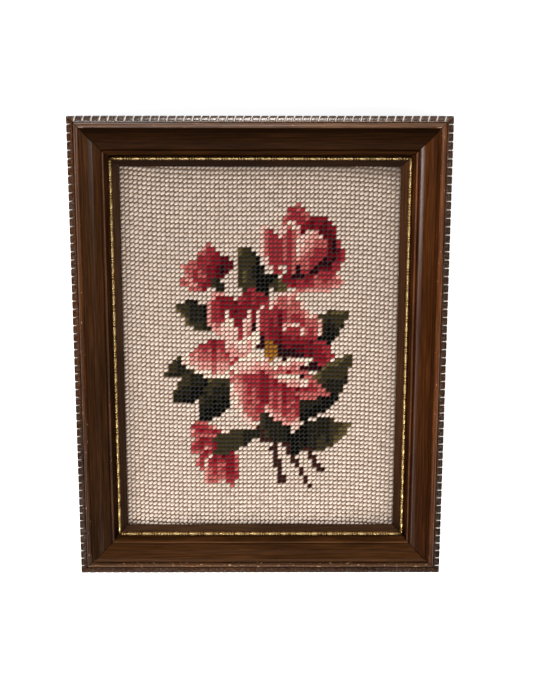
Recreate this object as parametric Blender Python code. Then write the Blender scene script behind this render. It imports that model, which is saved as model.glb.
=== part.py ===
# A needlepoint canvas panel in its moulded wood frame, lying on its back and face up.
# The picture's right is +X, its top is +Y, and it faces +Z. The backs of the rails lie on z = 0.
# Everything is in metres. "Out" is the distance from the sight edge, which is where the canvas
# starts to show, towards the outside of the frame. "Up" is the height above the wool's surface.

import math
from collections import namedtuple

import bpy
import bmesh

# Driving dimensions
SIGHT_HALF_WIDTH = 0.0785
SIGHT_HALF_HEIGHT = 0.10425
CANVAS_THICKNESS = 0.0022
RECESS_BEHIND_CANVAS = 0.0051
CANVAS_UNDER_LIP = 0.0046
REBATE_WIDTH = 0.0050
GAP = 0.0003

# The carved blocks along the outer edge
BLOCKS_ALONG_WIDTH = 46
BLOCKS_ALONG_HEIGHT = 57
NOTCH_WIDTH = 0.0010

# The gilt line: small beads and long spindles in turn
GILT_OUT = 0.00435
GILT_RADIUS = 0.00098
GILT_HEIGHT = 0.0019
GILT_NECK_HEIGHT = 0.35
REPEATS_ALONG_WIDTH = 18
REPEATS_ALONG_HEIGHT = 24

SMOOTH_WOOD_UP_TO = 35
SMOOTH_GILT_UP_TO = 60

MM = 0.001
WOOL_TOP = RECESS_BEHIND_CANVAS + CANVAS_THICKNESS
MITRE_PULL = GAP / 2 * 2**0.5

ProfilePoint = namedtuple("ProfilePoint", "out up")
EdgePoint = namedtuple("EdgePoint", "block_out block_up notch_out notch_up")
GiltStation = namedtuple("GiltStation", "along share")

# The moulding's outline in millimetres, from the rebate's foot round to the notched edge
SEAT_UP = 3.7
MOULDING = [
    ProfilePoint(REBATE_WIDTH / MM, -WOOL_TOP / MM),
    ProfilePoint(REBATE_WIDTH / MM, GAP / MM),
    ProfilePoint(0.0, GAP / MM),
    ProfilePoint(0.0, 1.7),
    ProfilePoint(0.4, 2.1),
    ProfilePoint(3.2, SEAT_UP),
    ProfilePoint(5.4, SEAT_UP),
    ProfilePoint(6.1, 4.6),
    ProfilePoint(6.6, 6.2),
    ProfilePoint(6.9, 8.2),
    ProfilePoint(7.3, 9.1),
    ProfilePoint(7.9, 9.4),
    ProfilePoint(8.5, 9.1),
    ProfilePoint(8.8, 8.6),
    ProfilePoint(9.2, 9.2),
    ProfilePoint(11.2, 10.5),
    ProfilePoint(13.6, 11.5),
    ProfilePoint(16.0, 12.0),
    ProfilePoint(17.8, 12.0),
    ProfilePoint(18.1, 11.3),
    ProfilePoint(18.8, 10.0),
    ProfilePoint(20.2, 9.2),
    ProfilePoint(20.7, 9.7),
    ProfilePoint(21.8, 10.1),
    ProfilePoint(22.9, 9.8),
    ProfilePoint(23.4, 9.1),
]

# Rows that run along the notched edge. A row whose block and notch places agree stays straight.
NOTCHED_EDGE = [
    EdgePoint(23.7, 8.9, 23.7, 8.9),
    EdgePoint(24.0, 9.6, 24.1, 8.9),
    EdgePoint(27.1, 9.4, 26.5, 8.7),
    EdgePoint(27.1, 6.5, 26.5, 6.9),
    EdgePoint(26.3, 6.0, 26.3, 6.0),
]

# One repeat of the gilt line: how far along it, and the share of its full radius there
GILT_REPEAT = [
    GiltStation(0.00, 0.40),
    GiltStation(0.11, 0.95),
    GiltStation(0.22, 0.40),
    GiltStation(0.38, 1.00),
    GiltStation(0.82, 0.90),
]
GiltPoint = namedtuple("GiltPoint", "side height")
GILT_SECTION = [
    GiltPoint(-1.0, 0.0),
    GiltPoint(-0.8, 0.6),
    GiltPoint(0.0, 1.0),
    GiltPoint(0.8, 0.6),
    GiltPoint(1.0, 0.0),
]


def clear_scene():
    for item in list(bpy.data.objects):
        bpy.data.objects.remove(item)


def make_material(name, colour, roughness, metallic):
    made = bpy.data.materials.new(name)
    made.use_nodes = True
    shader = made.node_tree.nodes["Principled BSDF"]
    shader.inputs["Base Color"].default_value = (*colour, 1.0)
    shader.inputs["Roughness"].default_value = roughness
    shader.inputs["Metallic"].default_value = metallic
    return made


# A place on one side of the frame, given along the side, out from the sight edge and up from the
# wool, becomes a point in the row's frame. Each side is the same drawing, turned a quarter.
def placed(side, along, out, up):
    from_centre = side.sight_distance + out
    x_along, y_along = side.direction
    return (
        along * x_along + from_centre * y_along,
        along * y_along - from_centre * x_along,
        WOOL_TOP + up,
    )


# direction is the way a side runs, so that its outside lies to the right of that way
Side = namedtuple("Side", "name direction sight_distance half_length blocks repeats")
SIDES = [
    Side("top", (-1, 0), SIGHT_HALF_HEIGHT, SIGHT_HALF_WIDTH, BLOCKS_ALONG_WIDTH, REPEATS_ALONG_WIDTH),
    Side("bottom", (1, 0), SIGHT_HALF_HEIGHT, SIGHT_HALF_WIDTH, BLOCKS_ALONG_WIDTH, REPEATS_ALONG_WIDTH),
    Side("left", (0, -1), SIGHT_HALF_WIDTH, SIGHT_HALF_HEIGHT, BLOCKS_ALONG_HEIGHT, REPEATS_ALONG_HEIGHT),
    Side("right", (0, 1), SIGHT_HALF_WIDTH, SIGHT_HALF_HEIGHT, BLOCKS_ALONG_HEIGHT, REPEATS_ALONG_HEIGHT),
]


def mitre_end(side, out):
    return side.half_length + out - MITRE_PULL


# Turns the drawn mesh into the named object, with its edges sharp past the given angle
def finished(name, mesh, finish, smooth_degrees):
    bmesh.ops.recalc_face_normals(mesh, faces=mesh.faces)
    data = bpy.data.meshes.new(name)
    mesh.to_mesh(data)
    mesh.free()
    data.materials.append(finish)
    data.shade_smooth()
    data.set_sharp_from_angle(angle=math.radians(smooth_degrees))
    made = bpy.data.objects.new(name, data)
    bpy.context.scene.collection.objects.link(made)
    return made


# Where the notched rows have points between the mitres: three at each notch, the middle one cut in
def notch_stations(side):
    outermost = NOTCHED_EDGE[2].block_out * MM
    block_pitch = 2 * (side.half_length + outermost) / side.blocks
    stations = []
    for notch in range(1, side.blocks):
        centre = notch * block_pitch - side.half_length - outermost
        stations.append((centre - NOTCH_WIDTH / 2, False))
        stations.append((centre, True))
        stations.append((centre + NOTCH_WIDTH / 2, False))
    return stations


# A rail is the moulding's outline carried from mitre to mitre. Most rows need only their ends.
def make_rail(side, finish):
    mesh = bmesh.new()
    plain_rows = []
    for point in MOULDING:
        end = mitre_end(side, point.out * MM)
        corners = [placed(side, along, point.out * MM, point.up * MM) for along in (-end, end)]
        plain_rows.append([mesh.verts.new(corner) for corner in corners])

    edge_rows = []
    for point in NOTCHED_EDGE:
        end = mitre_end(side, point.block_out * MM)
        block = (point.block_out * MM, point.block_up * MM)
        notch = (point.notch_out * MM, point.notch_up * MM)
        places = [(-end, block)]
        places += [(along, notch if in_notch else block) for along, in_notch in notch_stations(side)]
        places += [(end, block)]
        edge_rows.append([mesh.verts.new(placed(side, along, out, up)) for along, (out, up) in places])

    foot_out = NOTCHED_EDGE[-1].block_out * MM
    foot_end = mitre_end(side, foot_out)
    foot_row = [mesh.verts.new(placed(side, along, foot_out, -WOOL_TOP)) for along in (-foot_end, foot_end)]

    for inner, outer in zip(plain_rows, plain_rows[1:]):
        mesh.faces.new([inner[0], inner[1], outer[1], outer[0]])
    mesh.faces.new([plain_rows[-1][0], plain_rows[-1][1], *reversed(edge_rows[0])])
    for inner, outer in zip(edge_rows, edge_rows[1:]):
        for i in range(len(inner) - 1):
            mesh.faces.new([inner[i], inner[i + 1], outer[i + 1], outer[i]])
    mesh.faces.new([*edge_rows[-1], foot_row[1], foot_row[0]])
    mesh.faces.new([foot_row[0], foot_row[1], plain_rows[0][1], plain_rows[0][0]])

    all_rows = [*plain_rows, *edge_rows, foot_row]
    mesh.faces.new([row[0] for row in all_rows])
    mesh.faces.new([row[-1] for row in reversed(all_rows)])
    bmesh.ops.triangulate(mesh, faces=[face for face in mesh.faces if len(face.verts) > 4])
    return finished(f"rail_{side.name}", mesh, finish, SMOOTH_WOOD_UP_TO)


# A gilt strip swells and narrows along its length, and ends on the same mitres as its rail
def make_gilt_strip(side, finish):
    mesh = bmesh.new()
    seat = SEAT_UP * MM + GAP
    end = mitre_end(side, GILT_OUT - GILT_RADIUS)
    pitch = 2 * end / side.repeats
    stations = [(-end, GILT_REPEAT[0].share)]
    for repeat in range(side.repeats):
        for station in GILT_REPEAT:
            if repeat or station.along:
                stations.append(((repeat + station.along) * pitch - end, station.share))
    stations.append((end, GILT_REPEAT[0].share))

    rings = []
    last = len(stations) - 1
    for number, (along, share) in enumerate(stations):
        ring = []
        for point in GILT_SECTION:
            out = GILT_OUT + point.side * share * GILT_RADIUS
            up = seat + point.height * (GILT_NECK_HEIGHT + (1 - GILT_NECK_HEIGHT) * share) * GILT_HEIGHT
            if number in (0, last):
                along = (1 if number else -1) * mitre_end(side, out)
            ring.append(mesh.verts.new(placed(side, along, out, up)))
        rings.append(ring)
    for first, second in zip(rings, rings[1:]):
        for i in range(len(first)):
            following = (i + 1) % len(first)
            mesh.faces.new([first[i], first[following], second[following], second[i]])
    mesh.faces.new(rings[0])
    mesh.faces.new(list(reversed(rings[-1])))
    return finished(f"gilt_{side.name}", mesh, finish, SMOOTH_GILT_UP_TO)


# The stitched canvas is one flat sheet whose edges lie under the lip, in the rebate
def make_canvas(finish):
    half_width = SIGHT_HALF_WIDTH + CANVAS_UNDER_LIP
    half_height = SIGHT_HALF_HEIGHT + CANVAS_UNDER_LIP
    mesh = bmesh.new()
    bmesh.ops.create_cube(mesh, size=1.0)
    bmesh.ops.scale(mesh, vec=(2 * half_width, 2 * half_height, CANVAS_THICKNESS), verts=mesh.verts)
    middle = RECESS_BEHIND_CANVAS + CANVAS_THICKNESS / 2
    bmesh.ops.translate(mesh, vec=(0, 0, middle), verts=mesh.verts)
    return finished("canvas", mesh, finish, SMOOTH_WOOD_UP_TO)


def main():
    clear_scene()
    stained_wood = make_material("stained_wood", (0.045, 0.018, 0.008), 0.38, 0.0)
    gilding = make_material("gilding", (0.62, 0.44, 0.20), 0.35, 0.9)
    wool = make_material("wool", (0.52, 0.41, 0.34), 0.9, 0.0)
    for side in SIDES:
        make_rail(side, stained_wood)
        make_gilt_strip(side, gilding)
    make_canvas(wool)


main()
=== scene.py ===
# A wool needlepoint of a rose spray in its moulded wood frame, dressed around the solid parts.
# Metres throughout. "Out" runs from the sight edge to the outside of the frame, "up" from the wool's top.
import math
from collections import namedtuple

import bpy
import numpy as np
from mathutils import Matrix, Vector


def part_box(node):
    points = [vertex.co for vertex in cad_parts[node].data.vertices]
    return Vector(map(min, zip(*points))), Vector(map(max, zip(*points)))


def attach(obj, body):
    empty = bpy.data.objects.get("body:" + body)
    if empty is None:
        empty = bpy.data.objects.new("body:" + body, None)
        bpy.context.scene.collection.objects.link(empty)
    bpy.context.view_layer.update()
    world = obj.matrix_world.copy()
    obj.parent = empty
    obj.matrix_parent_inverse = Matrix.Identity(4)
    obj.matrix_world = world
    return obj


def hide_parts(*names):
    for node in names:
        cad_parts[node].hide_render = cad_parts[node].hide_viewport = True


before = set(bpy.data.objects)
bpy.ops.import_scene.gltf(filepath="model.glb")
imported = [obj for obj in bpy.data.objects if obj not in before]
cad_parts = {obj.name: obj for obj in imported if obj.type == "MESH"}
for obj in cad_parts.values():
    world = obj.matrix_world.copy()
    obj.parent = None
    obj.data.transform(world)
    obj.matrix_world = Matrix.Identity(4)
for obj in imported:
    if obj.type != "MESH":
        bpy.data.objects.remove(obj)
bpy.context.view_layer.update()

mm = 0.001
canvasLow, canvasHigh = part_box("canvas")

# Sizes that the solid parts give
panel = {
    "woolTop": canvasHigh.z,
    "woolFoot": canvasLow.z,
    "canvasHalfWidth": canvasHigh.x,
    "canvasHalfHeight": canvasHigh.y,
    "underLip": 4.6 * mm,
    "mitrePull": 0.21 * mm,
}
sightHalfWidth = panel["canvasHalfWidth"] - panel["underLip"]
sightHalfHeight = panel["canvasHalfHeight"] - panel["underLip"]


# Meshes from whole arrays

# Points, four-sided and three-sided faces become one object; the faces arrive as index arrays
def meshObject(name, points, quads, triangles):
    corners = np.concatenate([quads.reshape(-1), triangles.reshape(-1)])
    sizes = np.concatenate([np.full(len(quads), 4), np.full(len(triangles), 3)])
    starts = np.concatenate([[0], np.cumsum(sizes)[:-1]])
    mesh = bpy.data.meshes.new(name)
    mesh.vertices.add(len(points))
    mesh.vertices.foreach_set("co", np.asarray(points, np.float32).reshape(-1))
    mesh.loops.add(len(corners))
    mesh.loops.foreach_set("vertex_index", corners.astype(np.int32))
    mesh.polygons.add(len(sizes))
    mesh.polygons.foreach_set("loop_start", starts.astype(np.int32))
    mesh.polygons.foreach_set("use_smooth", np.full(len(sizes), True))
    mesh.update(calc_edges=True)
    mesh.validate()
    made = bpy.data.objects.new(name, mesh)
    bpy.context.scene.collection.objects.link(made)
    return made


# Index quads of a grid with the given rows and columns; wrapped, its last column meets its first
def gridQuads(rows, columns, wrapped=False):
    i = np.arange(rows - 1)[:, None]
    j = np.arange(columns if wrapped else columns - 1)[None, :]
    after = (j + 1) % columns
    near, far = i * columns, (i + 1) * columns
    return np.stack([near + j, near + after, far + after, far + j], -1).reshape(-1, 4)


# A value for each point, as a colour that a material can read
def setColour(piece, name, colours):
    layer = piece.data.color_attributes.new(name, "FLOAT_COLOR", "POINT")
    full = np.ones((len(colours), 4), np.float32)
    full[:, :3] = colours
    layer.data.foreach_set("color", full.reshape(-1))


# A value pair for each point, laid out as the piece's own map
def setMap(piece, across, along):
    layer = piece.data.uv_layers.new(name="lie")
    corner = np.zeros(len(piece.data.loops), np.int32)
    piece.data.loops.foreach_get("vertex_index", corner)
    pair = np.stack([across[corner], along[corner]], -1).astype(np.float32)
    layer.data.foreach_set("uv", pair.reshape(-1))


def finishPiece(piece, material, slot, *nodes):
    piece.data.materials.append(material)
    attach(piece, "root")
    if nodes:
        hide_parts(*nodes)
    return piece


# Repeatable scatter between 0 and 1 for each pair of whole numbers
def scatter(first, second, seed):
    wave = np.sin(first * 12.9898 + second * 78.233 + seed * 37.719) * 43758.5453
    return wave - np.floor(wave)


# Colours are given as they look on a screen, 0 to 255, and used as light
def asLight(colour):
    share = np.asarray(colour, float) / 255
    return np.where(share <= 0.04045, share / 12.92, ((share + 0.055) / 1.055) ** 2.4)


# Small helpers for material nodes
class Finish:
    def __init__(self, name):
        self.material = bpy.data.materials.new(name)
        self.material.use_nodes = True
        self.tree = self.material.node_tree
        self.shader = self.tree.nodes["Principled BSDF"]

    def add(self, kind, settings=None, **inputs):
        made = self.tree.nodes.new("ShaderNode" + kind)
        for key, value in (settings or {}).items():
            setattr(made, key, value)
        for key, value in inputs.items():
            self.feed(made.inputs[key.replace("_", " ")], value)
        return made

    def feed(self, socket, value):
        if isinstance(value, bpy.types.NodeSocket):
            self.tree.links.new(value, socket)
        else:
            socket.default_value = value

    def set(self, **inputs):
        for key, value in inputs.items():
            self.feed(self.shader.inputs[key.replace("_", " ")], value)

    def math(self, operation, first, second=0.0):
        made = self.tree.nodes.new("ShaderNodeMath")
        made.operation = operation
        self.feed(made.inputs[0], first)
        self.feed(made.inputs[1], second)
        return made.outputs[0]

    def blend(self, share, first, second, mode="MIX"):
        made = self.tree.nodes.new("ShaderNodeMix")
        made.data_type = "RGBA"
        made.blend_type = mode
        self.feed(made.inputs[0], share)
        self.feed(made.inputs[6], first)
        self.feed(made.inputs[7], second)
        return made.outputs[2]

    def ramp(self, value, *stops):
        made = self.tree.nodes.new("ShaderNodeValToRGB")
        marks = made.color_ramp.elements
        while len(marks) < len(stops):
            marks.new(0.5)
        for mark, (place, colour) in zip(marks, stops):
            mark.position = place
            mark.color = colour
        self.feed(made.inputs[0], value)
        return made.outputs[0]

    def range(self, value, low, high, newLow=0.0, newHigh=1.0):
        made = self.add("MapRange", {"clamp": True}, Value=value)
        made.inputs["From Min"].default_value = low
        made.inputs["From Max"].default_value = high
        made.inputs["To Min"].default_value = newLow
        made.inputs["To Max"].default_value = newHigh
        return made.outputs["Result"]

    def noise(self, where, scale, detail=3.0, roughness=0.55):
        made = self.add("TexNoise", Vector=where, Scale=scale, Detail=detail, Roughness=roughness)
        return made.outputs["Fac"]

    def stretched(self, where, across, along):
        made = self.add("Mapping", Vector=where)
        made.inputs["Scale"].default_value = (across, along, 1)
        return made.outputs["Vector"]

    def bump(self, height, strength, distance, under=None):
        made = self.add("Bump", Height=height, Strength=strength, Distance=distance)
        if under is not None:
            self.feed(made.inputs["Normal"], under)
        return made.outputs["Normal"]


def rgba(colour):
    return (*asLight(colour), 1.0)


# The wool's colours, as in a kit with one skein of each
wool = {
    "ecru": (222, 205, 191),
    "cream": (242, 224, 206),
    "shell": (240, 200, 188),
    "blush": (226, 156, 147),
    "pink": (190, 96, 92),
    "rose": (158, 44, 52),
    "red": (130, 16, 29),
    "crimson": (92, 4, 15),
    "maroon": (40, 2, 7),
    "ochre": (154, 100, 28),
    "olive": (92, 80, 44),
    "moss": (56, 47, 23),
    "green": (29, 25, 10),
    "pine": (9, 7, 2),
    "bark": (54, 22, 14),
}
skeins = list(wool)
flowerNames = ("cream", "shell", "blush", "pink", "rose", "red", "crimson", "maroon")
flowerShades = [skeins.index(name) for name in flowerNames]
leafShades = [skeins.index(name) for name in ("olive", "moss", "green", "pine")]

# The chart. Right and up count stitches from the picture's middle, angles turn anticlockwise from right.
# Tip, foot and turn are places in the list of shades: at the tip, at the foot, and added from side to
# side. Rim is the shade of the outermost stitches: lit is 1 where only the left side, seen from the
# foot, has it, -1 for the right side only, 0 for both.
Petal = namedtuple("Petal", "right up angle length width bend tip foot turn rim lit")


# How far along and across a petal each stitch lies. Its half width follows a power of a sine whose
# peak lies at the widest place, and its middle line bends off as the square of the way along.
def petalGrid(right, up, petal, widest, blunt):
    angle = math.radians(petal.angle)
    across = -(right - petal.right) * math.sin(angle) + (up - petal.up) * math.cos(angle)
    along = ((right - petal.right) * math.cos(angle) + (up - petal.up) * math.sin(angle)) / petal.length
    inLength = (along >= 0) & (along <= 1)
    along = np.clip(along, 0, 1)
    across = across / (petal.width / 2) - petal.bend * along**2
    half = np.sin(np.pi * along ** (math.log(0.5) / math.log(widest))) ** blunt
    return inLength & (np.abs(across) <= half), along, across, (half - np.abs(across)) * petal.width / 2


# Each petal is stitched over the last. Its shade runs from foot to tip and from side to side, with the
# scatter of single stitches and of whole strands added in its middle; its rim, where it has one, is one
# shade. Widest is where along it a petal is widest, and blunt is the power that its half width follows.
def stitchPetals(chart, right, up, petals, shades, widest, seed,
                 blunt=0.75, rimFrom=0.35, rimWidth=1.0, ragged=1.0):
    speckle = scatter(right, up, seed) - 0.5
    strand = scatter(right, 0 * up, seed + 5) - 0.5
    for petal in petals:
        inside, along, across, edge = petalGrid(right, up, petal, widest, blunt)
        tone = petal.foot + (petal.tip - petal.foot) * along + petal.turn * across
        tone = tone + ragged * (0.5 * speckle + 1.5 * strand) * np.sin(np.pi * np.clip(along, 0.08, 0.94))
        onSide = (petal.lit * across >= -0.1) | (along > 0.86)
        onRim = (along > rimFrom) & (edge < rimWidth) & onSide
        tone = np.where(onRim, petal.rim + 0.9 * speckle, tone)
        step = np.clip(np.rint(tone), 0, len(shades) - 1).astype(int)
        chart[inside] = np.array(shades)[step][inside]


def makeChart(right, up):
    chart = np.zeros(right.shape, int)
    leaves = [
        Petal(-9.0, 6.0, 165, 11.0, 6.2, -0.5, 0.4, 2.9, -1.2, 0, 0),
        Petal(0.8, 10.5, 113, 14.6, 6.8, -0.2, 0.4, 3.0, -1.5, 0, 0),
        Petal(9.0, 1.0, 35, 14.0, 6.4, 0.25, 0.4, 3.4, -1.2, 0, 0),
        Petal(9.0, -16.5, 56, 20.0, 7.8, -0.2, 0.4, 3.0, -1.6, 0, 0),
        Petal(7.2, -22.5, 27, 14.5, 7.6, -0.35, 0.2, 3.2, 0.9, 0, 0),
        Petal(-11.5, -1.8, 197, 11.5, 5.6, 0.5, 1.0, 3.4, 1.0, 0, 0),
        Petal(-10.5, -5.0, 214, 12.0, 6.8, 0.2, 2.0, 2.2, 1.6, 0, 0),
        Petal(-5.0, -5.0, 229, 15.0, 7.6, 0.2, 2.8, 1.2, 1.6, 0, 0),
        Petal(6.0, -22.0, 121, 11.0, 6.6, 0.1, 1.4, 2.4, -1.0, 0, 0),
        Petal(6.2, 12.0, 124, 7.0, 3.4, 0.1, 0.6, 0.8, 0.4, 0, 0),
    ]
    stitchPetals(chart, right, up, leaves, leafShades, 0.46, 3, blunt=0.85, rimFrom=2, ragged=0.7)
    stems = [
        (2.4, -20.5, 11, 0.26, "bark"),
        (5.6, -21.5, 11, 0.50, "bark"),
        (10.6, -22.5, 6, 0.60, "bark"),
        (8.6, -16.5, 8, -0.10, "pine"),
        (-2.4, -15.5, 6, 0.65, "bark"),
        (3.0, 17.5, 5, -0.55, "pine"),
    ]
    for stemRight, stemUp, rowsDown, drift, shade in stems:
        down = stemUp - up
        onStem = (down >= 0) & (down <= rowsDown) & (np.abs(right - stemRight - drift * down) <= 0.8)
        onStem &= scatter(right, up, 17) > 0.1
        chart[onStem] = skeins.index(shade)
    # upper right bloom: the back, the hollow, the cup, and the petals at its side and foot
    stitchPetals(chart, right, up, [
        Petal(8.4, 20.5, 90, 12.6, 7.6, 0.0, 3.2, 5.4, 0.6, 3.4, 1),
        Petal(10.5, 19.5, 70, 11.8, 8.0, 0.0, 5.0, 6.4, -0.2, 5.0, 0),
        Petal(10.6, 17.0, 47, 10.6, 8.2, 0.1, 4.2, 6.2, 0.3, 4.0, -1),
    ], flowerShades, 0.6, 21, blunt=0.6)
    stitchPetals(chart, right, up, [
        Petal(4.6, 16.6, 358, 14.6, 6.6, 0.0, 2.6, 5.2, 1.0, 2.0, -1),
    ], flowerShades, 0.5, 22, blunt=0.8)
    stitchPetals(chart, right, up, [
        Petal(7.0, 16.5, 56, 13.8, 10.6, -0.25, 6.4, 7.0, -0.3, 6.4, 0),
    ], flowerShades, 0.60, 23, blunt=0.6, ragged=0.7)
    stitchPetals(chart, right, up, [
        Petal(7.2, 17.4, 93, 12.2, 5.2, 0.0, 3.0, 3.6, 1.6, 0.5, 1),
        Petal(9.4, 17.2, 71, 10.6, 7.2, 0.05, 1.6, 3.8, -0.9, 1.0, 1),
        Petal(8.0, 19.6, 82, 6.2, 1.8, 0.1, 0.4, 1.6, 0.0, 0.4, 0),
    ], flowerShades, 0.62, 25, blunt=0.6)
    stitchPetals(chart, right, up, [
        Petal(4.4, 17.0, 88, 11.4, 3.2, 0.0, 3.6, 4.4, 0.4, 0.8, 1),
        Petal(3.4, 17.0, 101, 12.6, 4.4, 0.1, 3.4, 4.2, -0.8, 1.0, 1),
    ], flowerShades, 0.55, 27, rimFrom=0.1)
    # upper left bud
    stitchPetals(chart, right, up, [
        Petal(-10.6, 15.0, 60, 7.6, 3.6, 0.0, 6.4, 6.6, 0.0, 6.0, 0),
        Petal(-11.0, 14.5, 92, 10.0, 4.6, 0.0, 3.2, 5.4, -0.4, 2.4, 1),
        Petal(-10.4, 15.0, 176, 7.6, 3.6, 0.0, 4.2, 5.0, 0.0, 3.0, 0),
        Petal(-10.0, 14.8, 148, 8.8, 5.6, 0.0, 3.0, 5.2, -0.4, 2.0, 1),
        Petal(-9.8, 14.6, 118, 8.4, 5.0, 0.0, 3.6, 5.4, -0.4, 3.0, 1),
    ], flowerShades, 0.58, 31)
    # hanging bud
    stitchPetals(chart, right, up, [
        Petal(-7.0, -22.0, 154, 10.4, 5.2, 0.1, 3.4, 5.8, 0.0, 2.6, 0),
        Petal(-6.8, -21.6, 190, 9.4, 6.8, 0.0, 3.4, 5.6, -0.5, 3.0, 0),
        Petal(-6.6, -22.0, 217, 9.8, 6.4, 0.0, 3.0, 5.4, -0.5, 2.4, 0),
        Petal(-7.0, -21.5, 244, 11.8, 6.4, 0.0, 2.6, 5.6, -0.7, 1.6, -1),
        Petal(-7.6, -21.0, 275, 11.2, 4.8, 0.0, 4.0, 5.8, -0.3, 3.6, 0),
    ], flowerShades, 0.58, 35)
    stitchPetals(chart, right, up, [
        Petal(-7.6, 12.4, 128, 5.6, 2.4, 0.0, 1.0, 3.0, 0.0, 0, 0),
        Petal(1.0, -19.6, 186, 12.0, 3.4, 0.3, 0.8, 2.2, 0.0, 0, 0),
        Petal(0.5, -18.5, 207, 12.5, 3.4, 0.0, 0.6, 2.2, 0.0, 0, 0),
    ], leafShades, 0.6, 5, blunt=0.6, rimFrom=2, ragged=0.7)
    # big rose, from its outer petals at the back to the turned ones in front
    stitchPetals(chart, right, up, [
        Petal(-4.5, -1.0, 111, 15.8, 8.2, 0.0, 4.6, 5.2, -1.0, 2.0, 1),
        Petal(-0.6, 3.0, 97, 11.4, 8.2, 0.0, 4.2, 6.2, 0.0, 4.4, 0),
        Petal(1.6, 3.0, 56, 12.8, 8.2, 0.1, 1.6, 6.0, -0.2, 0.8, 0),
        Petal(3.0, 0.6, 31, 12.8, 9.0, 0.1, 2.2, 6.0, -0.3, 1.2, -1),
        Petal(3.0, 0.6, -8, 14.0, 8.2, 0.0, 4.2, 7.0, -0.8, 4.0, 0),
    ], flowerShades, 0.6, 7, blunt=0.8, rimWidth=1.3)
    stitchPetals(chart, right, up, [
        Petal(0.6, -5.0, -19, 16.4, 7.8, 0.0, 3.6, 6.4, -0.9, 3.0, 0),
        Petal(-0.4, -4.0, -59, 17.2, 9.2, 0.1, 3.0, 4.8, 0.9, 1.6, -1),
        Petal(-3.2, -2.0, -85, 16.6, 9.4, 0.0, 2.6, 4.0, 1.3, 0.6, -1),
        Petal(-3.0, -1.8, 183, 15.4, 9.6, 0.0, 1.4, 4.4, -1.9, 0.3, 1),
    ], flowerShades, 0.42, 8, blunt=0.95, rimFrom=0.3, rimWidth=1.7)
    stitchPetals(chart, right, up, [
        Petal(-5.6, -2.0, 84, 12.6, 7.0, 0.2, 5.6, 3.2, 0.6, 5.2, 0),
        Petal(3.4, 0.0, -23, 11.4, 3.2, 0.2, 6.6, 7.0, 0.0, 7.0, 0),
        Petal(3.2, -6.2, -6, 8.4, 2.2, 0.0, 7.0, 6.6, 0.0, 7.0, 0),
        Petal(3.4, -1.0, 124, 9.6, 4.4, 0.3, 7.0, 7.0, 0.0, 7.0, 0),
    ], flowerShades, 0.5, 9, ragged=0.6)
    stitchPetals(chart, right, up, [
        Petal(4.2, 0.6, 112, 10.6, 6.8, -0.2, 3.4, 6.0, -0.8, 0.9, 1),
        Petal(3.0, 1.4, 31, 7.6, 5.8, 0.0, 3.6, 6.2, -0.6, 1.4, 1),
    ], flowerShades, 0.64, 11, blunt=0.6, rimFrom=0.5)
    stitchPetals(chart, right, up, [
        Petal(-6.8, -1.6, 93, 11.2, 2.3, 0.2, 0.4, 1.8, 0.0, 0.4, 0),
        Petal(-4.9, -2.4, 97, 8.6, 1.8, 0.3, 0.8, 1.8, 0.0, 0.8, 0),
        Petal(-3.9, -1.6, 80, 11.6, 2.2, 0.4, 0.4, 3.4, -0.8, 0.6, 1),
        Petal(-3.0, -0.6, 66, 5.4, 3.4, 0.0, 0.2, 2.4, -0.3, 0.0, 0),
        Petal(-6.0, -3.2, 106, 11.0, 1.6, 0.3, 0.8, 2.4, 0.0, 1.0, 0),
        Petal(-4.0, -2.8, 88, 6.4, 1.7, 0.0, 0.6, 2.0, 0.0, 0.8, 0),
    ], flowerShades, 0.6, 12, blunt=0.6, ragged=1.1)
    chart[((right - 2.2) / 1.6) ** 2 + ((up - 0.2) / 2.3) ** 2 < 1] = skeins.index("ochre")
    stitchPetals(chart, right, up, [
        Petal(1.2, -5.2, 20, 10.8, 3.0, -0.4, 1.2, 3.2, -0.8, 0.3, 1),
        Petal(2.0, -5.6, -15, 9.8, 2.8, 0.2, 0.6, 2.6, -0.8, 0.4, 1),
        Petal(2.6, -2.6, 190, 9.4, 5.0, -0.1, 0.8, 1.6, 1.3, 0.2, -1),
    ], flowerShades, 0.55, 13, blunt=0.6, rimFrom=0.2, ragged=0.7)
    return chart


# Tent stitches

# Loose is how far a stitch strays, in pitches, and wander how far it turns, in degrees. Swell, stretch and
# strandTint give a stitch's width, length and paleness: the least, and what chance adds.
stitch = {
    "across": 2.54 * mm,
    "up": 2.528 * mm,
    "columns": 64,
    "rows": 89,
    "skew": 1.45,
    "loose": 0.10,
    "wander": 14,
    "swell": (0.90, 0.17),
    "stretch": (0.94, 0.12),
    "strandTint": (0.90, 0.14),
    "clearOfEdge": 0.62,
    # Painted shade beside each side of the frame, painted light beside the lower rail where the share is
    # negative, its reach in stitches, and painted shade over the upper half
    "edgeShadeReach": 1.3,
    "edgeShade": {"left": 0.32, "right": 0.42, "top": 0.56, "bottom": -0.58},
    "upperShade": 0.075,
}

# The grains of yarn, in pitches: the slanting one in front, and the longer float behind
frontGrain = {"halfLength": 0.65, "halfWidth": 0.345, "halfHeight": 0.30, "slant": 37.0, "dip": 0.30,
              "taper": 0.74, "stations": 5, "around": 6}
backGrain = {"halfLength": 1.0, "halfWidth": 0.24, "halfHeight": 0.10, "slant": -24.0, "dip": -0.06,
             "taper": 0.5, "stations": 3, "around": 5}


# Tent stitches pull a canvas askew: its rows rise at the left edge and sink at the right one, by the
# cube of the way across
def rowSkew(right):
    return -stitch["skew"] * (2 * right / stitch["columns"]) ** 3
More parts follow.
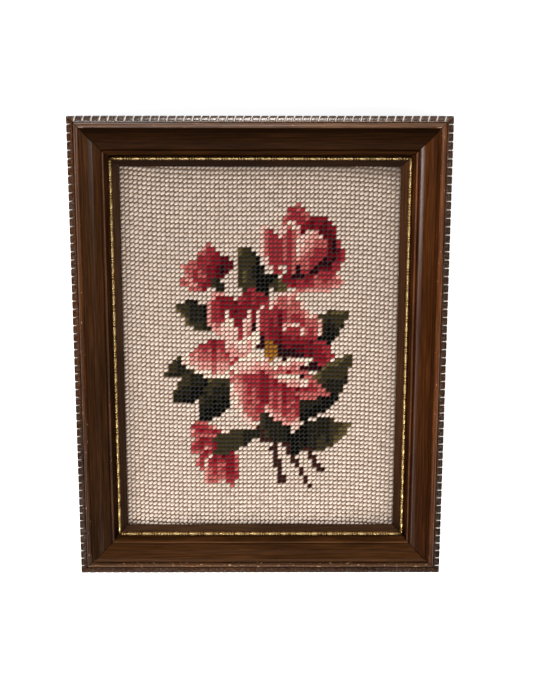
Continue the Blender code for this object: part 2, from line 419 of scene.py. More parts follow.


# Painted shade: the wool is made darker close beside the frame, where the frame's shadow falls, and painted
# light makes it paler beside its lower rail, fading as an exponential of the way in from each side. Painted
# shade also darkens its upper half, more the higher up it lies.
def paintedEdgeShade(right, up):
    across, down = sightHalfWidth / stitch["across"], sightHalfHeight / stitch["up"]
    ways = {"left": right + across, "right": across - right, "top": down - up, "bottom": down + up}
    kept = 1 - stitch["upperShade"] * np.clip(2 * up / down, 0, 1)
    for side, way in ways.items():
        kept = kept * (1 - stitch["edgeShade"][side] * np.exp(-np.clip(way, 0, None) / stitch["edgeShadeReach"]))
    return kept


# One grain of yarn: an ellipse in section whose size follows a power of a circle's height from end to
# end, carried along a slanting line that dips as the square of the way from its middle
def yarnGrain(shape):
    stations, around = shape["stations"], shape["around"]
    turn = np.linspace(0, np.pi, stations + 2)[1:-1]
    way = -np.cos(turn)
    size = np.sin(turn) ** shape["taper"]
    phase = (np.arange(around) + 0.5) / around * 2 * np.pi
    alongLine = np.repeat(way * shape["halfLength"], around)
    acrossLine = np.outer(size, np.cos(phase)).reshape(-1) * shape["halfWidth"]
    height = np.outer(size, np.sin(phase)) * shape["halfHeight"] - (shape["dip"] * way**2)[:, None]
    tips = np.array([[-shape["halfLength"], 0, -shape["dip"]], [shape["halfLength"], 0, -shape["dip"]]])
    body = np.stack([alongLine, acrossLine, height.reshape(-1)], -1)
    quads = gridQuads(stations, around, wrapped=True)[:, ::-1]
    ring = np.arange(around)
    after = (ring + 1) % around
    firstTip = len(body)
    lastRing = (stations - 1) * around
    near = np.stack([np.full_like(ring, firstTip), ring, after], -1)
    far = np.stack([np.full_like(ring, firstTip + 1), lastRing + after, lastRing + ring], -1)
    return np.concatenate([body, tips]), quads, np.concatenate([near, far])


# Every stitch of one piece at once: the grain is turned, swelled a little unevenly and set on its mesh
# at the given height
def makeStitches(name, columns, rows, colours, material, shape, height):
    grain, quads, triangles = yarnGrain(shape)
    count = len(columns)
    loose = stitch["loose"]
    right = columns - (stitch["columns"] - 1) / 2
    up = rows - (stitch["rows"] - 1) / 2 + rowSkew(right)
    lean = np.radians(shape["slant"] + stitch["wander"] * (scatter(columns, rows, 1) - 0.5))
    swell = stitch["swell"][0] + stitch["swell"][1] * scatter(columns, rows, 2)
    stretch = stitch["stretch"][0] + stitch["stretch"][1] * scatter(columns, rows, 3)
    long = grain[:, 0][None, :] * stretch[:, None]
    wide = grain[:, 1][None, :] * swell[:, None]
    x = long * np.cos(lean)[:, None] - wide * np.sin(lean)[:, None]
    y = long * np.sin(lean)[:, None] + wide * np.cos(lean)[:, None]
    x = x + (right + loose * (scatter(columns, rows, 4) - 0.5))[:, None]
    y = y + (up + loose * (scatter(columns, rows, 5) - 0.5))[:, None]
    z = grain[:, 2][None, :] * swell[:, None] * stitch["across"] + height
    points = np.stack([x * stitch["across"], y * stitch["up"], z], -1).reshape(-1, 3)
    offset = (np.arange(count) * len(grain))[:, None, None]
    quads, triangles = (quads[None] + offset).reshape(-1, 4), (triangles[None] + offset).reshape(-1, 3)
    piece = meshObject(name, points, quads, triangles)
    setColour(piece, "yarn", np.repeat(colours, len(grain), axis=0))
    angle = np.tile(np.arctan2(grain[:, 2], grain[:, 1]), count)
    setMap(piece, angle, np.tile(grain[:, 0], count))
    return finishPiece(piece, material, "wool")


def woolFinish():
    finish = Finish("woolYarn")
    yarn = finish.add("VertexColor", {"layer_name": "yarn"}).outputs["Color"]
    where = finish.add("TexCoord").outputs["Object"]
    fibres = finish.noise(where, 2600.0, 4.0, 0.7)
    tone = finish.ramp(fibres, (0.3, (0.62, 0.60, 0.58, 1)), (0.7, (1.08, 1.08, 1.08, 1)))
    colour = finish.blend(1.0, yarn, tone, "MULTIPLY")
    finish.set(Base_Color=colour, Roughness=0.88)
    finish.shader.inputs["Specular IOR Level"].default_value = 0.0
    lie = finish.add("UVMap", {"uv_map": "lie"}).outputs["UV"]
    parts = finish.add("SeparateXYZ", Vector=lie)
    twist = finish.math("ADD", finish.math("MULTIPLY", parts.outputs["Y"], 16.0), parts.outputs["X"])
    ply = finish.math("SINE", finish.math("MULTIPLY", twist, 2.0))
    under = finish.bump(ply, 0.5, 0.12 * mm)
    finish.set(Normal=finish.bump(fibres, 0.5, 0.10 * mm, under))
    return finish.material


# The bare canvas behind the stitches: a woven sheet, its threads a plain wave in both directions
canvasSheet = {"thickness": 0.5 * mm, "middle": 1.2 * mm, "weave": 0.12 * mm, "clear": 0.1 * mm,
               "perStitch": 3, "rowsDown": 85}


def makeCanvas(material, tints, chart):
    halfWidth = panel["canvasHalfWidth"] - canvasSheet["clear"]
    halfHeight = panel["canvasHalfHeight"] - canvasSheet["clear"]
    x = np.linspace(-halfWidth, halfWidth, canvasSheet["perStitch"] * stitch["columns"] + 1)
    y = np.linspace(-halfHeight, halfHeight, canvasSheet["perStitch"] * canvasSheet["rowsDown"] + 1)
    gridX, gridY = np.meshgrid(x, y)
    wave = np.cos(2 * np.pi * gridX / stitch["across"]) * np.cos(2 * np.pi * gridY / stitch["up"])
    middle = panel["woolTop"] - canvasSheet["middle"] + canvasSheet["weave"] * wave
    half = canvasSheet["thickness"] / 2
    top = np.stack([gridX, gridY, middle + half], -1).reshape(-1, 3)
    bottom = np.stack([gridX, gridY, middle - half], -1).reshape(-1, 3)
    face = gridQuads(len(y), len(x))
    corner = np.arange(len(top)).reshape(len(y), len(x))
    rim = np.concatenate([corner[0, :-1], corner[:-1, -1], corner[-1, :0:-1], corner[:0:-1, 0]])
    following = np.roll(rim, -1)
    selvedge = np.stack([rim, rim + len(top), following + len(top), following], -1)
    quads = np.concatenate([face, face[:, ::-1] + len(top), selvedge])
    piece = meshObject("canvasCloth", np.concatenate([top, bottom]), quads, np.zeros((0, 3), int))
    lastColumn, lastRow = stitch["columns"] - 1, stitch["rows"] - 1
    column = np.clip(np.rint(gridX / stitch["across"] + lastColumn / 2), 0, lastColumn)
    bent = gridY / stitch["up"] - rowSkew(gridX / stitch["across"])
    row = np.clip(np.rint(bent + lastRow / 2), 0, lastRow)
    # Each point of the canvas takes the colour of the nearest stitch, for the wool reaching into its holes;
    # the canvas finish darkens it as painted shade between the stitches
    fill = tints[chart[row.astype(int), column.astype(int)]].reshape(-1, 3)
    setColour(piece, "yarn", np.concatenate([fill, fill]))
    return finishPiece(piece, material, "wool", "canvas")


def canvasFinish():
    finish = Finish("canvasThreads")
    yarn = finish.add("VertexColor", {"layer_name": "yarn"}).outputs["Color"]
    where = finish.add("TexCoord").outputs["Object"]
    grain = finish.noise(where, 900.0, 3.0)
    # The thread colour, darker than the canvas's own tan, multiplies the yarn colour: real canvas and wool
    # with painted shade of the gaps between the stitches
    threadAndGapShade = finish.ramp(grain, (0.3, rgba((98, 82, 68))), (0.7, rgba((132, 115, 98))))
    across = finish.add("TexWave", {"bands_direction": "X"}, Vector=where, Scale=250.0)
    upward = finish.add("TexWave", {"bands_direction": "Y"}, Vector=where, Scale=250.0)
    weave = finish.math("MAXIMUM", across.outputs["Fac"], upward.outputs["Fac"])
    colour = finish.blend(1.0, yarn, threadAndGapShade, "MULTIPLY")
    finish.set(Base_Color=colour, Roughness=0.9, Normal=finish.bump(weave, 0.6, 0.15 * mm))
    return finish.material


# The wood mouldings

# The tones are painted light and shade: how much lighter, darker or warmer each length of moulding is made
# than the others as the light falls on it, on its face, its lip, its outer bead, its carved blocks and its
# gilt line.
# The numbers after the face's tone say how much lighter its face is painted, as light and shade, at the
# places
# in the list beneath: the cove, the ridge, the cushion's inner edge, middle and crest, and the outer cove.
# The last number is how much paler, as painted sheen, an upright length is at its upper end than at its
# middle.
Side = namedtuple("Side", "name along outward sight half blocks repeats tone wear lipTone beadTone blockTone "
                          "giltTone fade")
profileShadingAt = np.array([4.5, 7.8, 9.8, 14.0, 17.6, 19.5]) * mm
sides = [
    Side("top", (-1, 0), (0, 1), sightHalfHeight, sightHalfWidth, 46, 18,
         (0.68, 0.62, 0.54), (1.0, 1.25, 0.95, 0.8, 0.7, 0.8),
         (0.40, 0.34, 0.28), (1.38, 1.38, 0.74), (1.6, 1.2, 0.5), 0.70, 0.0),
    Side("bottom", (1, 0), (0, -1), sightHalfHeight, sightHalfWidth, 46, 18,
         (1.5, 1.42, 1.2), (1.8, 1.25, 1.2, 0.95, 0.70, 0.9),
         (1.9, 1.95, 1.9), (0.42, 0.38, 0.28), (0.90, 0.62, 0.28), 1.08, 0.0),
    Side("left", (0, -1), (-1, 0), sightHalfWidth, sightHalfHeight, 57, 24,
         (1.0, 0.95, 0.9), (1.0, 0.75, 1.1, 1.0, 1.0, 1.0),
         (0.93, 0.96, 1.05), (0.68, 0.60, 0.34), (1.25, 0.84, 0.34), 0.92, 0.30),
    Side("right", (0, 1), (1, 0), sightHalfWidth, sightHalfHeight, 57, 24,
         (1.36, 1.0, 0.66), (1.0, 0.85, 1.1, 1.05, 1.0, 1.0),
         (1.2, 1.0, 0.8), (1.3, 1.06, 0.62), (0.92, 0.88, 0.92), 0.95, 0.40),
]


# Along, out and up on one side become points of the frame
def place(side, along, out, up):
    fromMiddle = side.sight + out
    x = along * side.along[0] + fromMiddle * side.outward[0]
    y = along * side.along[1] + fromMiddle * side.outward[1]
    return np.stack([x, y, up + panel["woolTop"]], -1)


# Painted sheen along one side: the colour is made paler on an even slope from the lower end of an upright
# rail to the upper
def paintedSheenSlope(side, along):
    return 1 + side.fade * side.along[1] * along / side.half


# A quarter or half turn of an ellipse, as out and up in millimetres
def sweep(middleOut, middleUp, halfOut, halfUp, start, stop, steps):
    turn = np.radians(np.linspace(start, stop, steps))
    return np.stack([middleOut + halfOut * np.cos(turn), middleUp + halfUp * np.sin(turn)], -1)


# The moulding from its foot in the rebate, over the lip, cove, bead, cushion and outer bead
def mouldingOutline():
    cushion = np.linspace(0, 1, 14)
    cushionRise = np.stack([9.0 + 8.3 * cushion, 8.85 + 3.2 * np.sin(np.pi / 2 * cushion) ** 0.85], -1)
    foot = -panel["woolTop"] / mm
    parts = [
        np.array([[5.0, foot], [5.0, 0.3], [0.3, 0.3]]),
        sweep(0.6, 1.15, 0.6, 0.8, 215, 110, 6),
        np.array([[3.2, 3.55], [3.35, 3.7], [5.35, 3.7]]),
        sweep(5.5, 7.9, 1.4, 4.1, 270, 350, 8),
        sweep(7.8, 8.5, 0.9, 0.9, 165, 15, 10),
        np.array([[8.82, 8.45]]),
        cushionRise,
        np.array([[17.75, 11.95], [18.0, 11.6]]),
        sweep(20.15, 11.0, 2.05, 1.85, 172, 265, 8),
        sweep(21.8, 9.1, 1.55, 1.0, 172, 8, 12),
        np.array([[23.45, 8.8], [23.6, 8.3], [26.3, 8.0], [26.3, foot + 0.4], [25.9, foot]]),
    ]
    return np.concatenate(parts)


# Where the parts of the moulding lie, in millimetres out: the lip's end, the ridge's rubbed face, the band
# of an upright rail that is polished, and the outer bead. The heart is a point inside the wood, out and up.
railParts = {
    "lip": 3.3,
    "ridge": (7.2, 7.9),
    "polished": {"left": (12.6, 14.6), "right": (9.4, 11.4)},
    "bead": (20.2, 23.6),
}
railHeart = (12.0, 4.0)
railStep = 6 * mm
railWoods = ("stainedWood", "polishedWood", "rubbedWood", "lipWood", "dryWood", "waxedBead")


# Which of a rail's woods a face of the outline has, by its middle in millimetres. Hands and cloths have
# rubbed the beads; the lower rail's outer bead has lost its wax, and the upper rail's has kept it.
def railFinish(side, outline):
    out, up = ((outline + np.roll(outline, -1, axis=0)) / 2 / mm).T
    kind = np.zeros(len(out), int)

    def use(wood, span, above):
        kind[(out > span[0]) & (out < span[1]) & (up > above)] = railWoods.index(wood)

    if side.name in railParts["polished"]:
        use("polishedWood", railParts["polished"][side.name], 8.9)
        use("rubbedWood", railParts["ridge"], 9.1)
    use({"bottom": "dryWood", "top": "waxedBead"}.get(side.name, "rubbedWood"), railParts["bead"], 8.3)
    use("lipWood", (-1.0, railParts["lip"]), 0.3)
    return kind


# The outline carried from mitre to mitre. Both ends are closed by a fan from a point inside the wood.
def makeRail(side, materials):
    outline = mouldingOutline() * mm
    steps = 2 + int(side.half / railStep)
    out, up = outline[:, 0][None, :], outline[:, 1][None, :]
    share = np.linspace(-1, 1, steps)[:, None]
    along = share * (side.half + out - panel["mitrePull"])
    out, up = out + 0 * share, up + 0 * share
    points = place(side, along, out, up).reshape(-1, 3)
    columns = outline.shape[0]
    quads = gridQuads(steps, columns, wrapped=True)
    heart = np.array(railHeart) * mm
    ends = np.concatenate([
        place(side, np.array([-(side.half + heart[0] - panel["mitrePull"])]), heart[0:1], heart[1:2]),
        place(side, np.array([side.half + heart[0] - panel["mitrePull"]]), heart[0:1], heart[1:2]),
    ])
    ring = np.arange(columns)
    after = (ring + 1) % columns
    lastRow = (steps - 1) * columns
    near = np.stack([np.full_like(ring, len(points)), after, ring], -1)
    far = np.stack([np.full_like(ring, len(points) + 1), lastRow + ring, lastRow + after], -1)
    piece = meshObject(f"{side.name}Rail", np.concatenate([points, ends]), quads, np.concatenate([near, far]))
    piece.data.set_sharp_from_angle(angle=math.radians(32))
    setMap(piece, np.append(out.reshape(-1), heart[[0, 0]]), np.append(along.reshape(-1), [0, 0]))
    onBead = ((out > railParts["bead"][0] * mm) & (out < railParts["bead"][1] * mm)).reshape(-1, 1)
    onLip = (out < railParts["lip"] * mm).reshape(-1, 1)
    # Painted light and shade: the side's tone, made lighter or darker along the profile, its own lip and bead
    # tones, and painted sheen along an upright rail
    worn = np.interp(out, profileShadingAt, side.wear).reshape(-1, 1)
    stain = np.where(onBead, side.beadTone, np.where(onLip, side.lipTone, np.array(side.tone) * worn))
    stain = stain * paintedSheenSlope(side, along).reshape(-1, 1)
    setColour(piece, "stain", np.concatenate([stain, [side.tone, side.tone]]))
    finishPiece(piece, materials[0], "stained_wood", f"rail_{side.name}")
    for material in materials[1:]:
        piece.data.materials.append(material)
    chosen = np.concatenate([np.tile(railFinish(side, outline), steps - 1), np.zeros(2 * columns, int)])
    piece.data.polygons.foreach_set("material_index", chosen.astype(np.int32))
    return piece


# Colours run from the dark of the grain to its light. The wear colour is what shows where the stained surface
# is gone; on the carved blocks it is also the colour of the painted highlight on their slits.
woodFinishes = {
    "stainedWood": {"dark": (27, 14, 4), "mid": (42, 24, 10), "light": (62, 37, 18), "worn": (96, 64, 42),
                    "wornFrom": 0.72, "roughness": (0.26, 0.38), "specular": 0.02, "relief": 0.15},
    "polishedWood": {"dark": (27, 14, 4), "mid": (42, 24, 10), "light": (62, 37, 18), "worn": (96, 64, 42),
                     "wornFrom": 0.72, "roughness": (0.20, 0.28), "specular": 0.26, "relief": 0.12},
    "rubbedWood": {"dark": (44, 24, 11), "mid": (68, 39, 20), "light": (94, 58, 33), "worn": (160, 124, 92),
                   "wornFrom": 0.64, "roughness": (0.22, 0.32), "specular": 0.2, "relief": 0.07},
    "waxedBead": {"dark": (44, 24, 11), "mid": (68, 39, 20), "light": (94, 58, 33), "worn": (160, 124, 92),
                  "wornFrom": 0.64, "roughness": (0.28, 0.34), "specular": 0.6, "relief": 0.04},
    "dryWood": {"dark": (58, 36, 18), "mid": (86, 56, 33), "light": (116, 80, 50), "worn": (156, 118, 82),
                "wornFrom": 0.60, "roughness": (0.34, 0.44), "specular": 0.08, "relief": 0.15},
    "dullWood": {"dark": (27, 14, 4), "mid": (42, 24, 10), "light": (62, 37, 18), "worn": (96, 64, 42),
                 "wornFrom": 0.72, "roughness": (0.40, 0.50), "specular": 0.01, "relief": 0.15},
    "lipWood": {"dark": (28, 16, 7), "mid": (42, 26, 15), "light": (58, 38, 24), "worn": (58, 38, 24),
                "wornFrom": 0.80, "roughness": (0.5, 0.6), "specular": 0.02, "relief": 0.15},
    "carvedWood": {"dark": (26, 15, 7), "mid": (46, 29, 15), "light": (70, 46, 27), "worn": (246, 236, 224),
                   "wornFrom": 0.80, "roughness": (0.30, 0.42), "specular": 0.06, "relief": 0.15},
    "waxedCarving": {"dark": (26, 15, 7), "mid": (46, 29, 15), "light": (70, 46, 27), "worn": (246, 236, 224),
                     "wornFrom": 0.80, "roughness": (0.20, 0.26), "specular": 0.9, "relief": 0.02},
}


# Noise scales across and along a rail, and how far the slow clouding shifts the grain
woodNoise = {"grain": (1300, 40), "cloud": (60, 12), "chips": (900, 420), "clouding": 0.45}


# Grain is noise drawn out along the rail; worn places are a second noise, and on the carved blocks an
# attribute adds their worn flecks and the painted highlight on their slits
def woodFinish(name):
    values = woodFinishes[name]
    finish = Finish(name)
    lie = finish.add("UVMap", {"uv_map": "lie"}).outputs["UV"]
    grain = finish.noise(finish.stretched(lie, *woodNoise["grain"]), 1.0, 6.0, 0.6)
    cloud = finish.noise(finish.stretched(lie, *woodNoise["cloud"]), 1.0, 2.0, 0.5)
    clouding = finish.math("MULTIPLY", finish.math("SUBTRACT", cloud, 0.5), woodNoise["clouding"])
    tone = finish.math("ADD", grain, clouding)
    dark, mid, light = (rgba(values[key]) for key in ("dark", "mid", "light"))
    colour = finish.ramp(tone, (0.28, dark), (0.5, mid), (0.76, light))
    chips = finish.noise(finish.stretched(lie, *woodNoise["chips"]), 1.0, 4.0, 0.65)
    start = values["wornFrom"]
    share = finish.range(chips, start, start + 0.05)
    if name in ("carvedWood", "waxedCarving"):
        edges = finish.add("VertexColor", {"layer_name": "worn"}).outputs["Color"]
        share = finish.math("MAXIMUM", share, finish.math("MULTIPLY", edges, finish.range(chips, 0.20, 0.50)))
    # Painted light and shade, laid on each length as an attribute, darkens or lightens the grain colour
    stain = finish.add("VertexColor", {"layer_name": "stain"}).outputs["Color"]
    colour = finish.blend(1.0, colour, stain, "MULTIPLY")
    colour = finish.blend(share, colour, rgba(values["worn"]))
    finish.set(Base_Color=colour, Roughness=finish.range(grain, 0.3, 0.7, *values["roughness"]))
    finish.shader.inputs["Specular IOR Level"].default_value = values["specular"]
    finish.set(Normal=finish.bump(grain, values["relief"], 0.1 * mm))
    return finish.material


# The carved blocks along the outer edge. Stations are where a block has points, as shares of its
# length from one slit to the next. On each side, lit is how brightly the painted highlight on the slits
# shows, litHalf half its width in block lengths, litFrom the out where it starts, chips how far the carving
# is worn, and lean how far a slit's outer end lies along from its inner end. The gouge's middle and half size
# are a share of the block along it and an out, and its width is a share of its half size.
edging = {
    "stations": (0.0, 0.04, 0.08, 0.125, 0.18, 0.26, 0.34, 0.42, 0.5, 0.58, 0.66, 0.74, 0.82, 0.875, 0.92,
                 0.96),
    "outermost": 26.95 * mm,
    "slitHalf": 0.10,
    "slitDepth": {"top": 0.55 * mm, "right": 0.45 * mm, "left": 0.50 * mm, "bottom": 0.22 * mm},
    "gougeDepth": {"top": 0.02 * mm, "right": 0.13 * mm, "left": 0.13 * mm, "bottom": 0.16 * mm},
    "lit": {"top": 0.88, "right": 0.85, "left": 0.75, "bottom": 0.04},
    "litHalf": {"top": 0.064, "right": 0.038, "left": 0.042, "bottom": 0.05},
    "litFrom": {"top": 23.7 * mm, "right": 24.3 * mm, "left": 24.9 * mm, "bottom": 25.8 * mm},
    "chips": {"top": 0.05, "right": 0.04, "left": 0.04, "bottom": 0.03},
    "lean": {"top": -0.9 * mm, "right": 0.0, "left": 0.2 * mm, "bottom": 0.0},
    "middle": 25.3 * mm,
    "width": 3.4 * mm,
    "gougeMiddle": (0.56, 25.2 * mm),
    "gougeHalf": (0.27, 1.15 * mm),
    "gougeWidth": 0.28,
    "bodyFrom": 23.6 * mm,
    "fleckShare": 0.74,
}


# Across the strip the outline is a box with a flat top and small rounded corners. Along it, each block
# starts and ends in a narrow slit, a dip that falls off as the square of the way from its middle, and
# carries a shallow crescent gouge, a ring seen from one side. The blocks stand square to the rail; only
# those within the strip's own width of a mitre are squeezed, evenly, to end on it.
def makeEdging(side, material):
    corner = np.concatenate([
        np.array([[23.45, 7.4], [23.55, 9.0]]),
        sweep(23.95, 9.2, 0.35, 0.36, 170, 95, 3),
        np.array([[24.5, 9.6], [25.05, 9.6], [25.6, 9.6], [26.1, 9.59]]),
        sweep(26.43, 8.95, 0.52, 0.48, 80, 5, 4),
        np.array([[26.95, 8.3], [26.95, 7.4], [26.85, 6.8], [26.4, 6.3], [25.6, 6.5]]),
    ]) * mm
    block = (np.arange(side.blocks)[:, None] + np.array(edging["stations"])[None, :]).reshape(-1)
    block = np.append(block, side.blocks)[:, None]
    within = block % 1.0
    fromSlit = np.minimum(within, 1 - within)
    out, up = corner[:, 0][None, :], corner[:, 1][None, :]
    whole = (block > 0.5) & (block < side.blocks - 0.5)
    onTop = np.clip((up - 8.6 * mm) / (0.7 * mm), 0, 1)
    straightTo = side.half + corner[:, 0].min() - 2 * panel["mitrePull"]
    longest = side.half + edging["outermost"]
    along = (2 * block / side.blocks - 1) * longest
    beyond = np.clip((np.abs(along) - straightTo) / (longest - straightTo), 0, 1)
    mitreEnd = side.half + out - panel["mitrePull"]
    squeezed = np.sign(along) * (straightTo + beyond * (mitreEnd - straightTo))
    along = np.where(beyond > 0, squeezed, along)
    leaning = edging["lean"][side.name] * (out - edging["middle"]) / edging["width"]
    along = along + leaning * whole * (beyond == 0)
    number = np.floor(block + 0.5)
    uneven = 0.6 + 0.8 * scatter(number, 0 * number, 61)
    inward = np.clip((out - edging["bodyFrom"]) / (0.5 * mm), 0, 1)
    slit = np.clip(1 - (fromSlit / edging["slitHalf"]) ** 2, 0, 1) * whole * inward
    (gougeWithin, gougeOut), (halfWithin, halfOut) = edging["gougeMiddle"], edging["gougeHalf"]
    ring = np.hypot((within - gougeWithin) / halfWithin, (out - gougeOut) / halfOut)
    gouge = np.exp(-(((ring - 1) / edging["gougeWidth"]) ** 2)) * onTop * whole * uneven
    depth = edging["slitDepth"][side.name] * slit + edging["gougeDepth"][side.name] * gouge
    slopeOut, slopeUp = np.gradient(corner[:, 0]), np.gradient(corner[:, 1])
    steep = np.hypot(slopeOut, slopeUp)
    body = (up > 6.6 * mm) & (out > edging["bodyFrom"])
    newOut = out - depth * body * (-slopeUp / steep)[None, :]
    newUp = up - depth * body * (slopeOut / steep)[None, :]
    points = place(side, along, newOut, newUp).reshape(-1, 3)
    rows, columns = newOut.shape
    quads = gridQuads(rows, columns, wrapped=True)
    rim = np.arange(columns)
    lastRow = (rows - 1) * columns
    fan = np.stack([np.zeros(columns - 2, int), rim[2:], rim[1:-1]], -1)
    piece = meshObject(f"{side.name}CarvedEdge", points, quads, np.concatenate([fan, fan[:, ::-1] + lastRow]))
    setMap(piece, newOut.reshape(-1), along.reshape(-1))
    # The slits carry a painted highlight, strongest on the upper and right sides and almost none on the lower
    # one, mixed with flecks of real wear on the block tops
    reach = np.clip((out - edging["litFrom"][side.name]) / (0.35 * mm), 0, 1) * (up > 7.2 * mm)
    lit = np.clip(1.45 - fromSlit / edging["litHalf"][side.name], 0, 1) * whole * reach
    lit = lit * edging["lit"][side.name] * (0.75 + 0.25 * uneven)
    fleck = scatter(np.arange(rows)[:, None], np.arange(columns)[None, :], 71) > edging["fleckShare"]
    rubbed = fleck * onTop * whole * uneven * edging["chips"][side.name]
    worn = np.clip(np.maximum(lit, rubbed), 0, 1)
    setColour(piece, "worn", np.repeat(worn.reshape(-1, 1), 3, axis=1))
    # Painted shade darkens the gouges and slits; the side's block tone is painted light and shade, and the
    # painted sheen slope runs along it
    recessShade = 1 - 0.55 * np.clip(gouge + 0.7 * slit, 0, 1)
    recessShade = recessShade * paintedSheenSlope(side, along)
    setColour(piece, "stain", np.array(side.blockTone) * recessShade.reshape(-1, 1))
    return finishPiece(piece, material, "stained_wood")


# The gilt line: round beads and twisted spindles in turn. Slit is the share of the radius that is left
# between them, and the lengths and places along it are shares of one repeat.
gilt = {
    "out": {"top": 4.35 * mm, "bottom": 4.60 * mm, "left": 4.50 * mm, "right": 4.75 * mm},
    "seat": 3.9 * mm,
    "radius": 0.98 * mm,
    "height": 2.0 * mm,
    "slit": 0.62,
    "ridge": 0.13,
    "beadLength": 0.13,
    "secondBead": 0.15,
    "spindleFrom": 0.31,
    "spindleLength": 0.66,
    "perRepeat": 30,
    "around": 14,
}


# The radius along a repeat follows three humps, two short beads and a long spindle, each a power of a
# sine, with slits between them; round the section, the spindle carries ridges that turn as it goes
def giltRadius(within, phase):
    firstBead = np.sin(np.pi * np.clip(within / gilt["beadLength"], 0, 1))
    secondBead = np.sin(np.pi * np.clip((within - gilt["secondBead"]) / gilt["beadLength"], 0, 1))
    spindleWay = np.clip((within - gilt["spindleFrom"]) / gilt["spindleLength"], 0, 1)
    spindle = np.sin(np.pi * spindleWay) * (0.93 + 0.07 * np.cos(4 * np.pi * spindleWay))
    ridges = 1 + gilt["ridge"] * np.cos(3 * (phase - 3.4 * spindleWay)) * (spindleWay > 0)
    hump = np.maximum(np.clip(firstBead, 0, 1) ** 0.4, np.clip(secondBead, 0, 1) ** 0.4)
    hump = np.maximum(hump, np.clip(spindle, 0, 1) ** 0.35 * ridges)
    return gilt["slit"] + (1 - gilt["slit"]) * hump


def makeGilt(side, material):
    steps = side.repeats * gilt["perRepeat"] + 1
    repeat = np.linspace(0, side.repeats, steps)[:, None]
    phase = np.linspace(0, np.pi, gilt["around"])[None, :]
    radius = giltRadius(repeat % 1.0, phase)
    middle = gilt["out"][side.name]
    out = middle + gilt["radius"] * radius * np.cos(phase)
    up = gilt["seat"] + gilt["height"] * radius * np.sin(phase) * 0.98
    share = 2 * repeat / side.repeats - 1
    along = share * (side.half + middle - gilt["radius"] - panel["mitrePull"])
    along = along + np.where(np.abs(share) > 0.9999, np.sign(share) * (out - middle + gilt["radius"]), 0)
    points = place(side, along, out, up).reshape(-1, 3)
    quads = gridQuads(steps, gilt["around"], wrapped=True)[:, ::-1]
    ring = np.arange(gilt["around"])
    fan = np.stack([np.zeros(gilt["around"] - 2, int), ring[1:-1], ring[2:]], -1)
    lastRow = (steps - 1) * gilt["around"]
    piece = meshObject(f"{side.name}GiltBeads", points, quads, np.concatenate([fan, fan[:, ::-1] + lastRow]))
    piece.data.set_sharp_from_angle(angle=math.radians(70))
    # Painted light and shade: each side's gilt line is made darker or lighter as the light falls on it
    setColour(piece, "stain", np.full((len(points), 3), side.giltTone))
    return finishPiece(piece, material, "gilding", f"gilt_{side.name}")


def giltFinish():
    finish = Finish("oldGilding")
    where = finish.add("TexCoord").outputs["Object"]
    patches = finish.noise(where, 420.0, 4.0)
    gold = finish.ramp(patches, (0.25, rgba((132, 102, 58))), (0.6, rgba((196, 168, 114))))
    # The gold is darkened or lightened by each side's painted light and shade
    stain = finish.add("VertexColor", {"layer_name": "stain"}).outputs["Color"]
    gold = finish.blend(1.0, gold, stain, "MULTIPLY")
    finish.set(Base_Color=gold, Metallic=0.9, Roughness=finish.range(patches, 0.3, 0.7, 0.22, 0.42))
    finish.set(Normal=finish.bump(finish.noise(where, 2500.0, 2.0), 0.3, 0.05 * mm))
    return finish.material


# Floor, light and camera

studio = {"floor": (252, 252, 252), "floorGlow": 0.26, "world": 0.06}


def makeFloor():
    bpy.ops.mesh.primitive_plane_add(size=6.0, location=(0, 0, -0.0002))
    floor = bpy.context.object
    floor.name = "paleFloor"
    finish = Finish("palePaper")
    finish.set(Base_Color=rgba(studio["floor"]), Roughness=0.95)
    finish.set(Emission_Color=(1.0, 1.0, 1.0, 1.0), Emission_Strength=studio["floorGlow"])
    floor.data.materials.append(finish.material)


def makeWorld():
    world = bpy.data.worlds.new("softRoom")
    world.use_nodes = True
    world.node_tree.nodes["Background"].inputs["Color"].default_value = (1.0, 0.99, 0.98, 1)
    world.node_tree.nodes["Background"].inputs["Strength"].default_value = studio["world"]
    bpy.context.scene.world = world


Lamp = namedtuple("Lamp", "name where size power colour")
lamps = [
    Lamp("lowWindow", (-0.28, 1.05, 0.36), (0.24, 0.32), 3.6, (0.97, 0.98, 1.0)),
    Lamp("farWall", (0.20, 1.40, 0.90), (0.9, 0.34), 3.4, (0.99, 0.99, 1.0)),
    Lamp("leftWall", (-1.45, -0.40, 0.60), (0.9, 0.45), 9.0, (0.99, 0.98, 0.98)),
    Lamp("rightWall", (1.45, -0.50, 0.60), (0.9, 0.45), 9.0, (1.0, 0.96, 0.91)),
    Lamp("leftWindow", (-1.25, 0.16, 0.95), (0.32, 0.23), 6.4, (0.90, 0.95, 1.0)),
    Lamp("rightWindow", (0.75, 0.42, 1.45), (0.42, 0.17), 4.2, (0.90, 0.95, 1.0)),
    Lamp("nearWall", (-0.05, -0.62, 0.46), (0.7, 0.28), 9.6, (1.0, 0.98, 0.96)),
    Lamp("topWindow", (-0.01, 0.195, 0.95), (0.19, 0.10), 2.0, (1.0, 0.96, 0.93)),
    Lamp("ceilingLamp", (-0.42, -0.52, 1.55), (0.16, 0.16), 2.0, (0.88, 0.93, 1.0)),
]


def makeLamps():
    for lamp in lamps:
        data = bpy.data.lights.new(lamp.name, "AREA")
        data.shape = "RECTANGLE"
        data.size, data.size_y = lamp.size
        data.energy = lamp.power
        data.color = lamp.colour
        made = bpy.data.objects.new(lamp.name, data)
        made.location = lamp.where
        made.rotation_euler = (-Vector(lamp.where)).to_track_quat("-Z", "Y").to_euler()
        bpy.context.scene.collection.objects.link(made)


# The camera stands over the picture, leaning a little towards its upper edge
view = {
    "focalPixels": 900.0,
    "longSidePixels": 684.0,
    "sensor": 36.0,
    "lean": 9.32,
    "swing": 0.19,
    "aside": 3.58 * mm,
    "above": 5.15 * mm,
    "distance": 518.6 * mm,
}


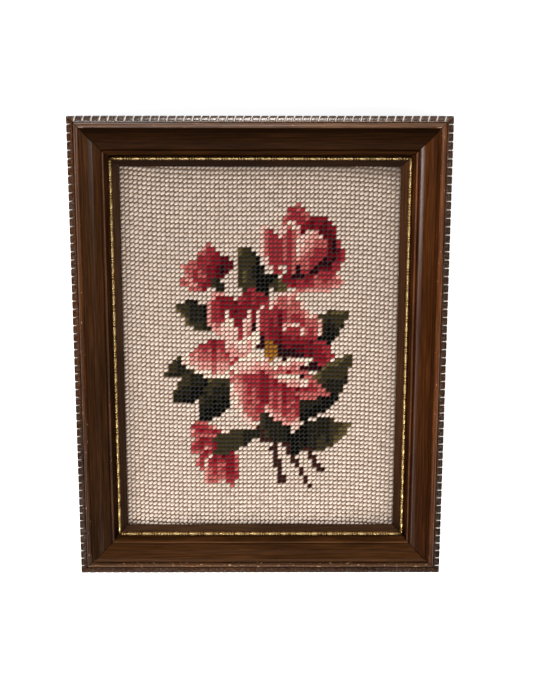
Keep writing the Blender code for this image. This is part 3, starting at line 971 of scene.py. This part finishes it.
def makeCamera():
    data = bpy.data.cameras.new("camera")
    data.sensor_width = view["sensor"]
    data.lens = view["focalPixels"] / view["longSidePixels"] * view["sensor"]
    data.clip_start, data.clip_end = 0.01, 20.0
    made = bpy.data.objects.new("camera", data)
    bpy.context.scene.collection.objects.link(made)
    lean = Matrix.Rotation(-math.radians(view["lean"]), 4, "X")
    swing = Matrix.Rotation(-math.radians(view["swing"]), 4, "Y")
    back = lean @ swing @ Matrix.Translation((view["aside"], view["above"], view["distance"]))
    made.matrix_world = Matrix.Translation((0, 0, panel["woolTop"])) @ back
    bpy.context.scene.camera = made


def main():
    print("wool and canvas")
    woolYarn = woolFinish()
    columns, rows = np.meshgrid(np.arange(stitch["columns"]), np.arange(stitch["rows"]))
    right = columns - (stitch["columns"] - 1) / 2
    up = rows - (stitch["rows"] - 1) / 2
    chart = makeChart(right, up)
    tints = np.array([asLight(wool[name]) for name in skeins])
    cloth = makeCanvas(canvasFinish(), tints, chart)
    strandTint = stitch["strandTint"][0] + stitch["strandTint"][1] * scatter(columns, rows, 9)
    # Each strand's own random tint, with painted shade beside the frame and over the upper half, and painted
    # light beside the lower rail
    tint = strandTint * paintedEdgeShade(right, up)
    reach = panel["canvasHalfHeight"] / stitch["up"] - stitch["clearOfEdge"]
    onSheet = np.abs(up + rowSkew(right)) < reach
    isGround = chart == 0
    isLeaf = np.isin(chart, leafShades + [skeins.index("bark")])
    isLower = rows < stitch["rows"] // 2
    top = panel["woolTop"] - (frontGrain["halfHeight"] * 1.07 + 0.01) * stitch["across"]
    foot = panel["woolFoot"] + (backGrain["halfHeight"] * 1.07 + 0.01) * stitch["across"]
    pieces = {
        "groundStitchesLower": (isGround & isLower, frontGrain, top),
        "groundStitchesUpper": (isGround & ~isLower, frontGrain, top),
        "leafStitches": (isLeaf, frontGrain, top),
        "roseStitches": (~isGround & ~isLeaf, frontGrain, top),
        "backFloats": (columns > 0, backGrain, foot),
    }
    for name, (chosen, shape, height) in pieces.items():
        chosen = chosen & onSheet
        colours = tints[chart[chosen]] * tint[chosen][:, None]
        makeStitches(name, columns[chosen], rows[chosen], colours, woolYarn, shape, height)
        print(name, int(chosen.sum()))

    print("frame")
    woods = {name: woodFinish(name) for name in woodFinishes}
    gilding = giltFinish()
    for side in sides:
        face = "dullWood" if side.name == "top" else "stainedWood"
        makeRail(side, [woods[name] for name in (face, *railWoods[1:])])
        makeEdging(side, woods["waxedCarving" if side.name == "top" else "carvedWood"])
        makeGilt(side, gilding)

    print("floor, light and camera")
    makeFloor()
    makeWorld()
    makeLamps()
    makeCamera()
    bpy.context.scene.view_settings.view_transform = "Standard"


main()
